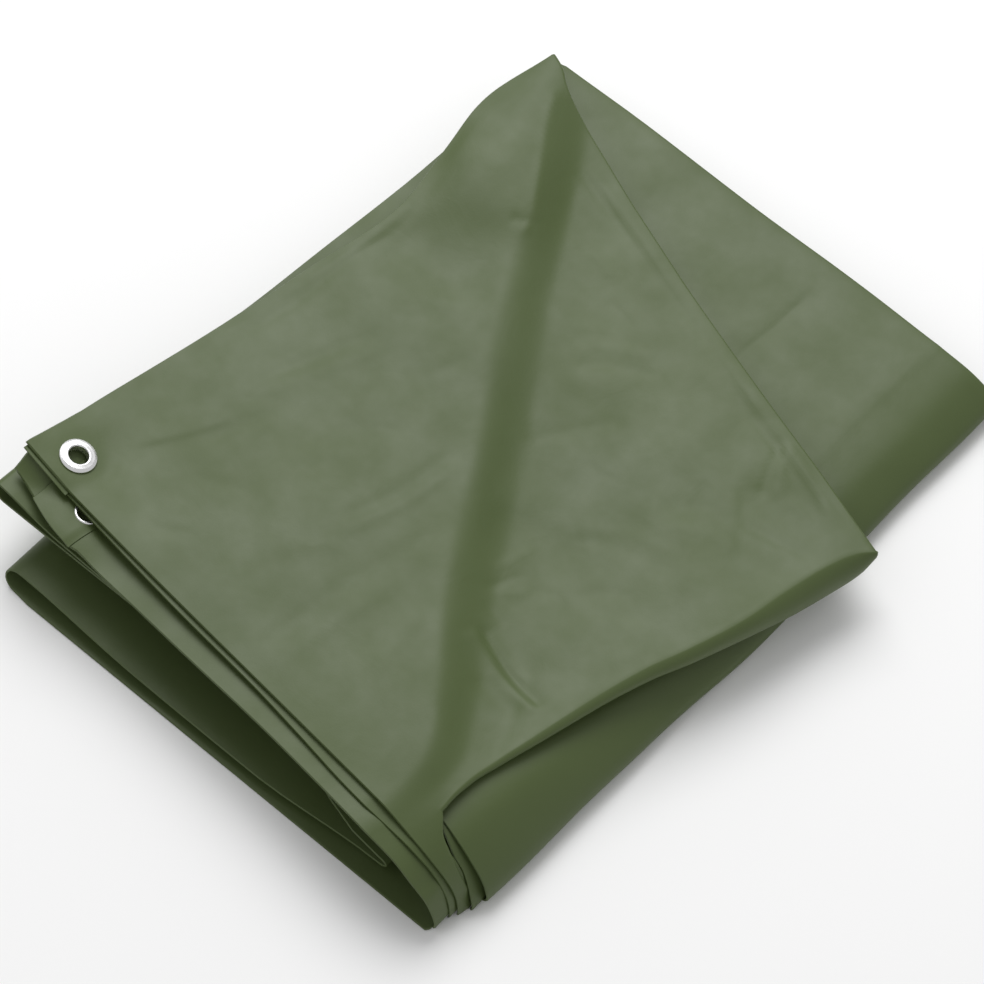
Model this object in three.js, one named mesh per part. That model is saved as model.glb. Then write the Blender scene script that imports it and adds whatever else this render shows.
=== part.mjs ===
// Folded tarp: one hemmed sheet of coated cloth, doubled and then folded back
// and forth into a flat rectangular pack, with two eyelets showing at its
// left corner. Millimetres, +Z up. +X points to the spine, the long side
// round which the layers turn. -Y is the short open side with the hems.
// The origin is the middle of the pack's box, on the surface it lies on.
import * as THREE from 'three';
import { mergeVertices } from 'three/addons/utils/BufferGeometryUtils.js';

// ---- driving dimensions ---------------------------------------------------
const CLOTH_T = 1.2;        // thickness of the cloth solid
const HEM_T = 2.4;          // thickness of the doubled hem corner
const HEM_W = 38;           // width of the hem
const HEM2_L = 66;          // length of the second hem corner strip
const STRIP_GAP = 0.8;      // clearance round a hem corner strip
const EYELET = { hole: 6.0, barrel: 7.0, seat: 7.4, flange: 11.5, washer: 11.0,
                 top: 2.7, bottom: 2.5, clear: 0.3 };
const EYELET_IN = 19.5;     // eyelet centres, in from the open hem edge
const EYELET_ALONG = { top: 24, second: 46 };   // and in from the side edge
const SPLIT = { inner: 0.66, lower: 0.33 };  // where the layers lie between
                                             // the lower pack and the top sheet
const FLOOR_Z = CLOTH_T / 2;
const COLOUR = { cloth: 0x6b7a52, metal: 0xd6d8d6 };

// top sheet: one row for each section across the pack, heights at its features
const TOP = [
  // y     left: x  z    curl: x  z   panel: x z   brow: x  z   valley: x z  crest: x  z  flap: x  z   front: x z
  { y: -235, left: [-201, 82], curl: [-160, 66], panel: [-50, 60], brow: [103, 57.4], valley: [121, 54], crest: [130, 52], flap: [140, 51.5], front: [150, 51] },
  { y: -193, left: [-199, 75], curl: [-160, 64], panel: [-50, 59], brow: [103, 57], valley: [121, 52], crest: [131, 50.4], flap: [141, 50], front: [152, 50] },
  { y: -150, left: [-197, 62], curl: [-156, 57], panel: [-60, 57], brow: [76, 55.4], valley: [107, 47], crest: [124, 46.6], flap: [134, 47.4], front: [142, 48] },
  { y: -100, left: [-190, 55], curl: [-148, 55], panel: [-75, 55], brow: [37, 53.4], valley: [76, 43],  crest: [96, 42.2], flap: [118, 43.6], front: [148, 46.5] },
  { y: 0,    left: [-175, 49], curl: [-145, 50], panel: [-112, 50], brow: [-25, 49.6], valley: [15, 38], crest: [40, 37], flap: [98, 41], front: [182, 47] },
  { y: 50,   left: [-168, 49.3], curl: [-146, 51], panel: [-122, 51.6], brow: [-60, 50.4], valley: [-15, 38.6], crest: [14, 37.4], flap: [84, 40], front: [192, 45] },
  { y: 100,  left: [-162, 50], curl: [-148, 52], panel: [-132, 53], brow: [-90, 52], valley: [-50, 40], crest: [-20, 38.5], flap: [64, 40.4], front: [205, 42] },
  { y: 140,  left: [-169, 52], curl: [-156, 54.2], panel: [-140, 55.2], brow: [-106, 53.6], valley: [-74, 42], crest: [-44, 39.8], flap: [20, 40.6], front: [120, 42] },
  { y: 170,  left: [-175, 54], curl: [-162, 56], panel: [-146, 57], brow: [-122, 55], valley: [-92, 43.2], crest: [-62, 40.6], flap: [-20, 41.4], front: [60, 42] },
  { y: 240,  left: [-168, 54], curl: [-165, 55], panel: [-161, 55], brow: [-157, 54], valley: [-138, 46.5], crest: [-118, 44], flap: [-98, 43.5], front: [-54, 43.5] },
];
// outline of the top sheet: its left hem edge and its front (right) fold
const LEFT_EDGE = [
  { y: -193, x: -199 }, { y: -144, x: -196 }, { y: -66, x: -185 }, { y: 8, x: -174 },
  { y: 85, x: -162 }, { y: 130, x: -168 }, { y: 180, x: -175 }, { y: 231, x: -166 },
];
const FRONT_FOLD = [
  { y: -225, x: 129, loop: 6.8 }, { y: -190, x: 128.8, loop: 6.8 }, { y: -156, x: 133.4, loop: 7 },
  { y: -118, x: 142.8, loop: 7.6 }, { y: -76, x: 154.2, loop: 9 }, { y: -32, x: 170.5, loop: 12 },
  { y: 3, x: 182, loop: 14.5 }, { y: 36, x: 188, loop: 17 }, { y: 60, x: 193.2, loop: 18 },
  { y: 78, x: 199.4, loop: 15 }, { y: 89, x: 204, loop: 10 },
];
const FAR_BOW = [   // dip of the far fold, by its share from the left
  { s: 0, dip: 0.3 }, { s: 0.03, dip: 1.1 }, { s: 0.085, dip: 6 }, { s: 0.19, dip: 5.9 }, { s: 0.43, dip: 7 },
  { s: 0.57, dip: 5.6 }, { s: 0.7, dip: 3.6 }, { s: 0.87, dip: 0.3 }, { s: 1, dip: 0 },
];
// lower pack: its spine (shoulder, middle, bulge, foot) and its left fold
const SPINE = [
  { y: -220, shoulder: [120, 41], middle: [147, 32], bulge: [171, 10], foot: [159, FLOOR_Z] },
  { y: -150, shoulder: [126, 36.2], middle: [151, 29], bulge: [173, 10], foot: [161, FLOOR_Z] },
  { y: -80,  shoulder: [128, 30.5], middle: [157, 25], bulge: [176, 10], foot: [163, FLOOR_Z] },
  { y: 0,    shoulder: [131, 27], middle: [162, 22.2], bulge: [181, 10], foot: [167, FLOOR_Z] },
  { y: 240,  shoulder: [134, 27], middle: [166, 22.2], bulge: [184.5, 10], foot: [170, FLOOR_Z] },
];
const LOWER_LEFT = [
  { y: -216, x: -203.6 }, { y: -139, x: -202.5 }, { y: -60, x: -194 }, { y: 17, x: -183 },
  { y: 108, x: -170 }, { y: 190, x: -170 }, { y: 240, x: -172.5 },
];
const ROLL = { outer: -178.8, start: -168, z: 15.5, settle: 9, over: 70 };
const INNER = { turn: 116, z: 17, end: -70, slant: 46 };   // its end is cut back at a slant
// where each pass starts and ends along Y
const REACH = { lower: [-218, 238], foot: [-214, 240], floor: [-243, 243], roll: [-239, 240],
                upper: [-241, 240], inner: [-234, 232] };
const INNER_HEM = { left: [-197, -206], right: [116, -240.5], step: 7 };   // open edge of the inner sheet
const ROWS = 15;            // divisions along Y
const COLS_TOP = 16;        // divisions across the top sheet past the hem

// ---- interpolation --------------------------------------------------------
const mix = (a, b, k) => a + (b - a) * k;
const clamp01 = (k) => Math.min(1, Math.max(0, k));
const smooth = (k) => { const c = clamp01(k); return c * c * (3 - 2 * c); };

// smooth curve through (key, value) rows, with held slopes past both ends
function curve(keys, values, k) {
  const n = keys.length;
  let i = 0;
  while (i < n - 2 && k > keys[i + 1]) i++;
  const slope = (a) => {
    if (a === 0) return (values[1] - values[0]) / (keys[1] - keys[0]);
    if (a === n - 1) return (values[n - 1] - values[n - 2]) / (keys[n - 1] - keys[n - 2]);
    const l = (values[a] - values[a - 1]) / (keys[a] - keys[a - 1]);
    const r = (values[a + 1] - values[a]) / (keys[a + 1] - keys[a]);
    return l * r <= 0 ? 0 : 2 * l * r / (l + r);
  };
  if (k <= keys[0]) return values[0] + slope(0) * (k - keys[0]);
  if (k >= keys[n - 1]) return values[n - 1] + slope(n - 1) * (k - keys[n - 1]);
  const h = keys[i + 1] - keys[i], u = (k - keys[i]) / h;
  const m0 = slope(i) * h, m1 = slope(i + 1) * h;
  return (2 * u ** 3 - 3 * u ** 2 + 1) * values[i] + (u ** 3 - 2 * u ** 2 + u) * m0
    + (-2 * u ** 3 + 3 * u ** 2) * values[i + 1] + (u ** 3 - u ** 2) * m1;
}
const along = (rows, name, y) => curve(rows.map((r) => r.y), rows.map((r) => r[name]), y);
const pair = (rows, name, k, y) => curve(rows.map((r) => r.y), rows.map((r) => r[name][k]), y);

const FEATURES = ['left', 'curl', 'panel', 'brow', 'valley', 'crest', 'flap', 'front'];
function topZ(x, y) {
  const xs = FEATURES.map((f) => pair(TOP, f, 0, y));
  const zs = FEATURES.map((f) => pair(TOP, f, 1, y));
  return curve(xs, zs, x);
}
const lowerZ = (y) => pair(SPINE, 'shoulder', 1, y);
const layerZ = (x, y, k) => mix(lowerZ(y), topZ(x, y), k);

// ---- the passes of the cloth ----------------------------------------------
const V = (x, y, z) => new THREE.Vector3(x, y, z);
const leftAt = (t) => { const y = mix(-193, 231, t); return [along(LEFT_EDGE, 'x', y), y]; };
const frontAt = (t) => { const y = mix(-224.5, 89, t); return [along(FRONT_FOLD, 'x', y), y, along(FRONT_FOLD, 'loop', y)]; };
const NOSE = 7;             // how far the front fold's round part reaches
const HANG = { near: 17, tip: 46 };   // how far the loop's lower sheet hangs free

function topSheet(s, t) {
  const [lx, ly] = leftAt(t), [fx, fy] = frontAt(t);
  const x = mix(lx, fx - NOSE, s);
  const bow = curve(FAR_BOW.map((r) => r.s), FAR_BOW.map((r) => r.dip), s) * t ** 3;
  const y = mix(ly, fy, s) - bow;
  return V(x, y, topZ(x, y));
}
function innerSheet(s, t) {            // the second sheet of the doubled top
  const far = topSheet(s, 1);
  const step = INNER_HEM.step * smooth(s / 0.15) * (1 - smooth((s - 0.15) / 0.6));
  const nx = mix(INNER_HEM.left[0], INNER_HEM.right[0], s), ny = mix(INNER_HEM.left[1], INNER_HEM.right[1], s) - step;
  const x = mix(nx, far.x, t), y = mix(ny, far.y, t);
  return V(x, y, layerZ(x, y, SPLIT.inner));
}
function farFold(s, phi) {             // turn from the top sheet to the inner one
  const a = topSheet(s, 1), b = innerSheet(s, 1);
  const r = (a.z - b.z) / 2;
  return V(a.x + 0.36 * r * Math.sin(phi), a.y + 0.93 * r * Math.sin(phi), (a.z + b.z) / 2 + r * Math.cos(phi));
}
function frontFold(phi, t) {           // loop of the flap at its front edge
  const a = topSheet(1, t), [, , loop] = frontAt(t);
  return V(a.x + NOSE * Math.sin(phi), a.y, a.z - loop / 2 + loop / 2 * Math.cos(phi));
}
const leftLower = (t) => { const y = mix(REACH.lower[0], REACH.lower[1], t); return [along(LOWER_LEFT, 'x', y) + 5, y]; };
function returnSheet(a, t) {           // the flap's lower sheet, back to the left
  const start = frontFold(Math.PI, t), [lx, ly] = leftLower(t);
  const x = mix(start.x, lx, a), y = mix(start.y, ly, a);
  const bed = layerZ(x, y, SPLIT.lower);
  const hang = smooth(1 - Math.abs(start.x - x) / mix(HANG.near, HANG.tip, smooth((t - 0.35) / 0.5)));
  return V(x, y, mix(bed, start.z, hang));
}
function leftTurn(phi, t) {
  const a = returnSheet(1, t), [lx, ly] = leftLower(t);
  const z3 = lowerZ(ly), r = (a.z - z3) / 2;
  return V(lx - 5 * Math.sin(phi), ly, z3 + r + r * Math.cos(phi));
}
function lowerTop(a, t) {              // top of the lower pack
  const y = mix(REACH.lower[0], REACH.lower[1], t), [lx] = leftLower(t);
  return V(mix(lx, pair(SPINE, 'shoulder', 0, y), a), y, lowerZ(y));
}
function spine(a, t) {                 // down the spine to the floor
  const y = mix(REACH.lower[0], REACH.lower[1], t);
  const names = ['shoulder', 'middle', 'bulge', 'foot'];
  const p = names.map((n) => [pair(SPINE, n, 0, y), pair(SPINE, n, 1, y)]);
  const under = [mix(p[2][0], p[3][0], 0.45), 2.0];
  const pts = [p[0], p[1], p[2], under, p[3]].map(([x, z]) => V(x, 0, z));
  const q = new THREE.CatmullRomCurve3(pts, false, 'centripetal').getPoint(a);
  return V(q.x, mix(y, mix(REACH.foot[0], REACH.foot[1], t), a), Math.max(q.z, FLOOR_Z));
}
function floorSheet(a, t) {
  const yf = mix(REACH.foot[0], REACH.foot[1], t), yr = mix(REACH.roll[0], REACH.roll[1], t);
  const ym = mix(REACH.floor[0], REACH.floor[1], t);
  const x = mix(pair(SPINE, 'foot', 0, yf), ROLL.start, a);
  const y = a < 0.15 ? mix(yf, ym, smooth(a / 0.15)) : mix(ym, yr, (a - 0.15) / 0.85);
  return V(x, y, FLOOR_Z);
}
const rollZ = (x) => ROLL.settle + (ROLL.z - ROLL.settle) * Math.exp(-(((x - ROLL.start) / ROLL.over) ** 2));
function rollTurn(phi, t) {
  const y = mix(REACH.roll[0], REACH.roll[1], t), r = (ROLL.z - FLOOR_Z) / 2;
  return V(ROLL.start + (ROLL.outer - ROLL.start) * Math.sin(phi), y, FLOOR_Z + r - r * Math.cos(phi));
}
function upperRoll(a, t) {
  const y = mix(mix(REACH.roll[0], REACH.upper[0], smooth(a * 3)), REACH.upper[1], t);
  const x = mix(ROLL.start, INNER.turn - 5, a);
  return V(x, mix(y, mix(REACH.inner[0], REACH.inner[1], t), smooth(a * 3 - 2)), rollZ(x));
}
function innerTurn(phi, t) {
  const y = mix(REACH.inner[0], REACH.inner[1], t), z0 = rollZ(INNER.turn - 5), r = (INNER.z - z0) / 2;
  return V(INNER.turn - 5 + 5 * Math.sin(phi), y, z0 + r - r * Math.cos(phi));
}
function innerEnd(a, t) {
  const y = mix(REACH.inner[0] + INNER.slant * smooth(a * 1.1), REACH.inner[1], t);
  return V(mix(INNER.turn - 5, INNER.end, a), y, INNER.z);
}

// ---- meshing ----------------------------------------------------------------
// A sheet is a set of quads on shared points, thickened by half its thickness
// to each side, with a wall along every free edge.
function thicken(points, quads, thickness) {
  const n = points.length, normals = points.map(() => V(0, 0, 0));
  for (const [a, b, c, d] of quads) {
    const m = points[c].clone().sub(points[a]).cross(points[d].clone().sub(points[b]));
    for (const k of [a, b, c, d]) normals[k].add(m);
  }
  const pos = [];
  for (const side of [1, -1]) {
    points.forEach((p, k) => {
      const q = normals[k].clone().normalize().multiplyScalar(side * thickness / 2).add(p);
      pos.push(q.x, q.y, q.z);
    });
  }
  const index = [], edges = new Map();
  for (const [a, b, c, d] of quads) {
    index.push(a, b, c, a, c, d, n + a, n + c, n + b, n + a, n + d, n + c);
    for (const [p, q] of [[a, b], [b, c], [c, d], [d, a]]) {
      const back = `${q}_${p}`;
      if (edges.has(back)) edges.delete(back); else edges.set(`${p}_${q}`, [p, q]);
    }
  }
  for (const [p, q] of edges.values()) index.push(p, n + q, q, p, n + p, n + q);
  const used = new Map(), keep = [], tidy = [];
  for (const k of index) {
    if (!used.has(k)) { used.set(k, used.size); keep.push(pos[3 * k], pos[3 * k + 1], pos[3 * k + 2]); }
    tidy.push(used.get(k));
  }
  const g = new THREE.BufferGeometry();
  g.setAttribute('position', new THREE.Float32BufferAttribute(keep, 3));
  g.setIndex(tidy);
  g.computeVertexNormals();
  return g;
}
const steps = (from, to, n, skipFirst) => Array.from({ length: n + 1 }, (_, i) => mix(from, to, i / n)).slice(skipFirst ? 1 : 0);

// ---- the cloth --------------------------------------------------------------
const topLeft = topSheet(0, 0), topAlong = topSheet(1, 0), topUp = topSheet(0, 1);
const hemS = HEM_W / Math.hypot(topAlong.x - topLeft.x, topAlong.y - topLeft.y);
const hemT = HEM_W / Math.hypot(topUp.x - topLeft.x, topUp.y - topLeft.y);
const hem2S = hemS * HEM2_L / HEM_W;
const ts = [0, hemT, ...steps(hemT, 1, ROWS, true)];
const ss = [0, hemS / 2, hemS, (hemS + hem2S) / 2, hem2S, ...steps(hem2S, 1, COLS_TOP, true)];
const innerCols = ss.length - 2;       // the inner sheet ends inside the loop

const columns = [
  ...ss.map((s) => (t) => topSheet(s, t)),
  ...steps(0, Math.PI, 5, true).map((p) => (t) => frontFold(p, t)),
  ...steps(0, 1, 12, true).map((a) => (t) => returnSheet(a, t)),
  ...steps(0, Math.PI, 4, true).map((p) => (t) => leftTurn(p, t)),
  ...steps(0, 1, 10, true).map((a) => (t) => lowerTop(a, t)),
  ...steps(0, 1, 8, true).map((a) => (t) => spine(a, t)),
  ...[0.06, 0.15, ...steps(0.15, 1, 7, true)].map((a) => (t) => floorSheet(a, t)),
  ...steps(0, Math.PI, 6, true).map((p) => (t) => rollTurn(p, t)),
  ...steps(0, 1, 9, true).map((a) => (t) => upperRoll(a, t)),
  ...steps(0, Math.PI, 4, true).map((p) => (t) => innerTurn(p, t)),
  ...steps(0, 1, 3, true).map((a) => (t) => innerEnd(a, t)),
];
const points = [], quads = [];
const main = columns.map((col) => ts.map((t) => points.push(col(t)) - 1));
for (let i = 0; i < columns.length - 1; i++) {
  for (let j = 0; j < ts.length - 1; j++) {
    if (i < 2 && j < 1) continue;      // notch for the top hem corner
    quads.push([main[i][j], main[i + 1][j], main[i + 1][j + 1], main[i][j + 1]]);
  }
}
const inner = ss.slice(0, innerCols + 1).map((s, i) => [
  main[i][ts.length - 1],
  ...steps(0, Math.PI, 4, true).slice(0, -1).map((p) => points.push(farFold(s, p)) - 1),
  ...ts.slice().reverse().map((t) => points.push(innerSheet(s, t)) - 1),
]);
for (let i = 0; i < innerCols; i++) {
  for (let j = 0; j < inner[0].length - 1; j++) {
    if (i < 4 && j === inner[0].length - 2) continue;   // notch for the second hem corner
    quads.push([inner[i][j], inner[i + 1][j], inner[i + 1][j + 1], inner[i][j + 1]]);
  }
}

const clothLook = new THREE.MeshStandardMaterial({ color: COLOUR.cloth, roughness: 0.55, metalness: 0, side: THREE.DoubleSide });
const metalLook = new THREE.MeshStandardMaterial({ color: COLOUR.metal, roughness: 0.25, metalness: 0.9 });
const group = new THREE.Group();
function add(name, geometry, material) {
  const mesh = new THREE.Mesh(geometry, material);
  mesh.name = name;
  group.add(mesh);
  return mesh;
}
add('tarp_cloth', thicken(points, quads, CLOTH_T), clothLook);

// ---- hem corners and eyelets --------------------------------------------------
// A frame on the cloth: origin at the corner, u along the hem, v up the side,
// with the strip's outline in it.
function cornerFrame(sheet, columnsS) {
  const o = sheet(0, 0), last = columnsS[columnsS.length - 1];
  const u = sheet(last, 0).sub(o), w = sheet(0, hemT).sub(o);
  u.normalize();
  const n = u.clone().cross(w).normalize();
  const v = n.clone().cross(u);
  const m = new THREE.Matrix4().makeBasis(u, v, n).setPosition(o);
  const flat = (p) => { const q = p.sub(o); return [q.dot(u), q.dot(v)]; };
  const near = columnsS.map((s) => flat(sheet(s, 0))), far = columnsS.map((s) => flat(sheet(s, hemT)));
  return { m, near, far, length: near[near.length - 1][0], width: far[0][1] };
}
function hemCorner(frame, cx, cy) {
  const inset = ([x, y]) => [x * (1 - STRIP_GAP / frame.length), y * (1 - STRIP_GAP / frame.width)];
  const shape = new THREE.Shape();
  shape.moveTo(...inset(frame.near[0]));
  for (const p of [...frame.near.slice(1), ...frame.far.slice().reverse()]) shape.lineTo(...inset(p));
  shape.closePath();
  const hole = new THREE.Path();
  hole.absarc(cx, cy, EYELET.seat, 0, Math.PI * 2, true);
  shape.holes.push(hole);
  const g = new THREE.ExtrudeGeometry(shape, { depth: HEM_T, bevelEnabled: false, curveSegments: 20 });
  g.translate(0, 0, -HEM_T / 2);
  g.applyMatrix4(frame.m);
  return g;
}
function eyeletRing(frame, cx, cy) {
  const e = EYELET, h = HEM_T / 2 + e.clear;
  const profile = [
    [e.hole, -e.bottom + 0.3], [e.hole + 0.5, -e.bottom], [e.washer, -e.bottom], [e.washer, -h], [e.barrel, -h],
    [e.barrel, h], [e.flange, h], [e.flange - 0.4, h + 0.6], [e.flange - 1.6, e.top],
    [e.hole + 0.9, e.top], [e.hole, e.top - 0.7],
  ].map(([r, z]) => new THREE.Vector2(r, z));
  profile.push(profile[0].clone());
  let g = new THREE.LatheGeometry(profile, 20);
  g.rotateX(Math.PI / 2);
  g.deleteAttribute('uv');
  g.deleteAttribute('normal');
  g = mergeVertices(g, 1e-4);
  const p = g.getAttribute('position'), ix = g.getIndex().array;
  let volume = 0;
  for (let i = 0; i < ix.length; i += 3) {
    const [a, b, c] = [0, 1, 2].map((k) => new THREE.Vector3().fromBufferAttribute(p, ix[i + k]));
    volume += a.dot(b.cross(c));
  }
  if (volume < 0) for (let i = 0; i < ix.length; i += 3) [ix[i], ix[i + 1]] = [ix[i + 1], ix[i]];
  g.translate(cx, cy, 0);
  g.applyMatrix4(frame.m);
  g.computeVertexNormals();
  return g;
}
const corner1 = cornerFrame(topSheet, ss.slice(0, 3));
add('hem_corner_top', hemCorner(corner1, EYELET_ALONG.top, EYELET_IN), clothLook);
add('eyelet_top', eyeletRing(corner1, EYELET_ALONG.top, EYELET_IN), metalLook);
const corner2 = cornerFrame(innerSheet, ss.slice(0, 5));
add('hem_corner_second', hemCorner(corner2, EYELET_ALONG.second, EYELET_IN), clothLook);
add('eyelet_second', eyeletRing(corner2, EYELET_ALONG.second, EYELET_IN), metalLook);

export default group;
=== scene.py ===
# Folded tarp: one hemmed sheet of olive coated cloth, doubled and folded back
# and forth into a flat pack, with two eyelets showing at its left corner.
# Surfaces are worked out in millimetres and turned into metres at the end.
import math
import bpy
import numpy as np
from mathutils import Matrix, Vector


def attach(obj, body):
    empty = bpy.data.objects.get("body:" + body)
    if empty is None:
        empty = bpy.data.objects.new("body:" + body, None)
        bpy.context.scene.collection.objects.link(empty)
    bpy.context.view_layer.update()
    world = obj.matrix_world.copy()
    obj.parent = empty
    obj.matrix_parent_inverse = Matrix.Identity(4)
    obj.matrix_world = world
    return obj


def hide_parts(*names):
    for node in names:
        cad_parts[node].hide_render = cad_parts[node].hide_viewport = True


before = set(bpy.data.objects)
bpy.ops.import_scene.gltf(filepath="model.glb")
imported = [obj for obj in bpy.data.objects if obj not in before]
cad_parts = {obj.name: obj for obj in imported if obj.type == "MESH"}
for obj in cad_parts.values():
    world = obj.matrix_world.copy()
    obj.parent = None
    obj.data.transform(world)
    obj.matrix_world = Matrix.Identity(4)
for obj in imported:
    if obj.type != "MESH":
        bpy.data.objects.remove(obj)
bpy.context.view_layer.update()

MM = 0.001
PI = math.pi
np.random.seed(7)

# ---- camera -----------------------------------------------------------------
AIM = Vector((3.5, -17.4, 23.2)) * MM
AZIMUTH, ELEVATION, DISTANCE, LENS = math.radians(41.5), math.radians(59.0), 2.2, 136.8
back = Vector((math.sin(AZIMUTH) * math.cos(ELEVATION), -math.cos(AZIMUTH) * math.cos(ELEVATION), math.sin(ELEVATION)))
cam_data = bpy.data.cameras.new("camera")
cam_data.sensor_fit = "AUTO"
cam_data.sensor_width = 36.0
cam_data.lens = LENS
cam_data.clip_start, cam_data.clip_end = 0.05, 50.0
cam = bpy.data.objects.new("camera", cam_data)
bpy.context.scene.collection.objects.link(cam)
cam.location = AIM + back * DISTANCE
cam.rotation_mode = "QUATERNION"
cam.rotation_quaternion = (-back).to_track_quat("-Z", "Y")
bpy.context.scene.camera = cam

# ---- tables: the sections of the pack -----------------------------------------
FEATURES = ["left", "curl", "panel", "brow", "valley", "crest", "flap", "front"]
TOP = [  # y, then (x, z) at each feature
    (-235, (-201, 82), (-160, 66), (-50, 60), (102, 57.4), (120, 53.0), (129, 49.6), (140, 44), (150, 38)),
    (-212, (-200, 78.5), (-160, 65), (-50, 59.5), (103, 57.3), (120, 52.8), (130, 49.6), (139, 46.2), (148, 42)),
    (-193, (-199, 75), (-160, 64), (-50, 59), (102, 57.0), (121, 51.4), (131, 49.8), (141, 49.4), (152, 49.4)),
    (-175, (-198, 69), (-158, 60), (-54, 58), (96, 56.4), (120, 49.4), (130.5, 48.9), (138, 49.3), (146, 49.6)),
    (-150, (-197, 62), (-156, 57), (-60, 57), (77, 55.4), (108, 46.8), (124, 46.0), (134, 47.4), (142, 48)),
    (-100, (-190, 55), (-148, 55), (-75, 55), (37, 53.4), (76, 42.8), (96, 41.4), (118, 43.4), (148, 46.5)),
    (0, (-175, 49), (-145, 50), (-112, 50), (-25, 49.6), (15, 38.0), (40, 36.8), (98, 41), (182, 47)),
    (50, (-168, 49.3), (-146, 51), (-122, 51.6), (-60, 50.4), (-15, 38.6), (14, 37.2), (84, 40), (192, 45)),
    (100, (-162, 50), (-148, 52), (-132, 53), (-90, 52), (-50, 40.0), (-20, 38.4), (64, 40.4), (205, 42)),
    (140, (-169, 52), (-156, 54.2), (-140, 55.2), (-106, 53.6), (-74, 42.0), (-44, 39.8), (20, 40.6), (120, 42)),
    (170, (-175, 54), (-162, 56), (-146, 57), (-122, 55), (-92, 43.2), (-62, 40.6), (-20, 41.4), (60, 42)),
    (205, (-171, 54), (-163, 55.6), (-155, 56.4), (-143, 55), (-112, 44.4), (-86, 42.2), (-52, 42.4), (10, 43)),
    (240, (-168, 54), (-165, 55), (-161, 55), (-157, 54), (-138, 46.5), (-118, 44), (-98, 43.5), (-54, 43.5)),
]
LEFT_EDGE = [(-193, -199), (-144, -196), (-66, -185), (8, -174), (85, -162), (130, -168), (180, -175), (231, -166)]   # y, x
FRONT_FOLD = [  # y, x, height of the loop, reach of the nose
    (-225, 129, 2.4, 1.4), (-202, 129.2, 2.6, 1.4), (-190, 128.6, 3.0, 1.7), (-176, 129.4, 3.6, 2.2),
    (-156, 133.4, 4.4, 2.8), (-137, 138.2, 5.2, 3.4), (-118, 142.8, 6.2, 4.0), (-96, 148.6, 7.6, 4.8),
    (-76, 154.2, 9.0, 5.2), (-56, 160.5, 10.2, 5.4), (-32, 170.6, 12.4, 5.8), (3, 183.2, 17, 6.8),
    (36, 191.6, 24, 9.2), (60, 197.8, 25, 9.8), (72, 201.2, 23.5, 9.4), (80, 203.4, 19, 7.8), (85, 204.4, 12.5, 5.2), (89, 205.2, 6.0, 2.2)]
NEAR = dict(left=-193.0, front=-224.5)       # the open hem of the top sheet
FAR = dict(left=231.0, front=89.0)           # its far fold
FAR_BOW = [(0, 0.3), (0.03, 1.1), (0.055, 4.4), (0.085, 6.0), (0.19, 5.9), (0.30, 6.8), (0.43, 7.0), (0.57, 5.6), (0.70, 3.6), (0.87, 0.3), (1.0, -0.9)]
FAR_LOWER = [(-200, 246), (-166, 245), (-118, 244.5), (-55, 241.5), (0, 239), (75, 237.5), (131, 235), (165, 233.5), (190, 232)]   # x, y of its far end
HANG = (17.0, 27.0)
SPLIT_INNER, SPLIT_LOWER = 0.66, 0.33
FAR_RETURN = 238.0
FLOOR_Z = 0.6
SPINE = [  # y, shoulder, middle, bulge, foot as (x, z)
    (-220, (120, 45.2), (147, 37.2), (171, 11), (160, FLOOR_Z)),
    (-185, (122, 43.6), (149, 36.2), (171.8, 11), (160.5, FLOOR_Z)),
    (-150, (126, 39.5), (151, 33.6), (173, 11), (161, FLOOR_Z)),
    (-80, (127, 31), (157, 26), (176, 10.5), (163, FLOOR_Z)),
    (0, (130, 27.4), (162, 22.6), (181, 10), (167, FLOOR_Z)),
    (240, (134, 27.4), (166, 22.6), (184.5, 10), (170, FLOOR_Z)),
]
LEFT_Z = [(-220, 40), (-150, 36.5), (-80, 30.5), (0, 27), (240, 27)]      # height of the lower pass at the left
LOWER_LEFT = [(-216, -203.6), (-139, -202.5), (-60, -194), (17, -183), (108, -170), (190, -170), (240, -172.5)]
ROLL = dict(outer=-178.8, start=-168.0, z=15.5, settle=9.0, over=70.0)
INNER = dict(turn=116.0, z=17.0, end=-70.0, slant=46.0)
REACH = dict(lower=(-218, 238), foot=(-210, 236), floor=(-244.5, 240), roll=(-238, 240), roll_in=-243.5,
             upper=(-240, 240), inner=(-234, 232))
INNER_HEM = dict(left=(-197, -206), right=(116, -240.5), step=7.0, corner=(0.064, 0.180))
# how the near ends of the three top sheets turn down at the near corner (x, z)
WRAP = [(130, 49.2), (138, 45.6), (144.5, 41), (150, 35.8), (154.3, 30.5), (158, 24.5), (160.6, 18.5), (162.4, 11.5), (163.0, 5.5), (162.4, 1.2)]
WRAP_HEM = [-224.7, -225.1, -225.2, -225.0, -224.8, -224.7, -224.9, -225.6, -226.2, -226.0]
WRAP_GAP = [-203.8, -211.5, -214.3, -216.0, -217.0, -217.3, -217.1, -216.8, -217.2, -218.4]
STRIP_HEM = [-229.0, -229.0, -228.6, -228.5, -228.6, -229.0, -229.7, -230.6, -231.2, -230.6]
INNER_NEAR = [-240.0, -240.7, -241.1, -240.9, -241.0, -241.1, -241.3, -241.6, -241.8, -240.4]
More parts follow.
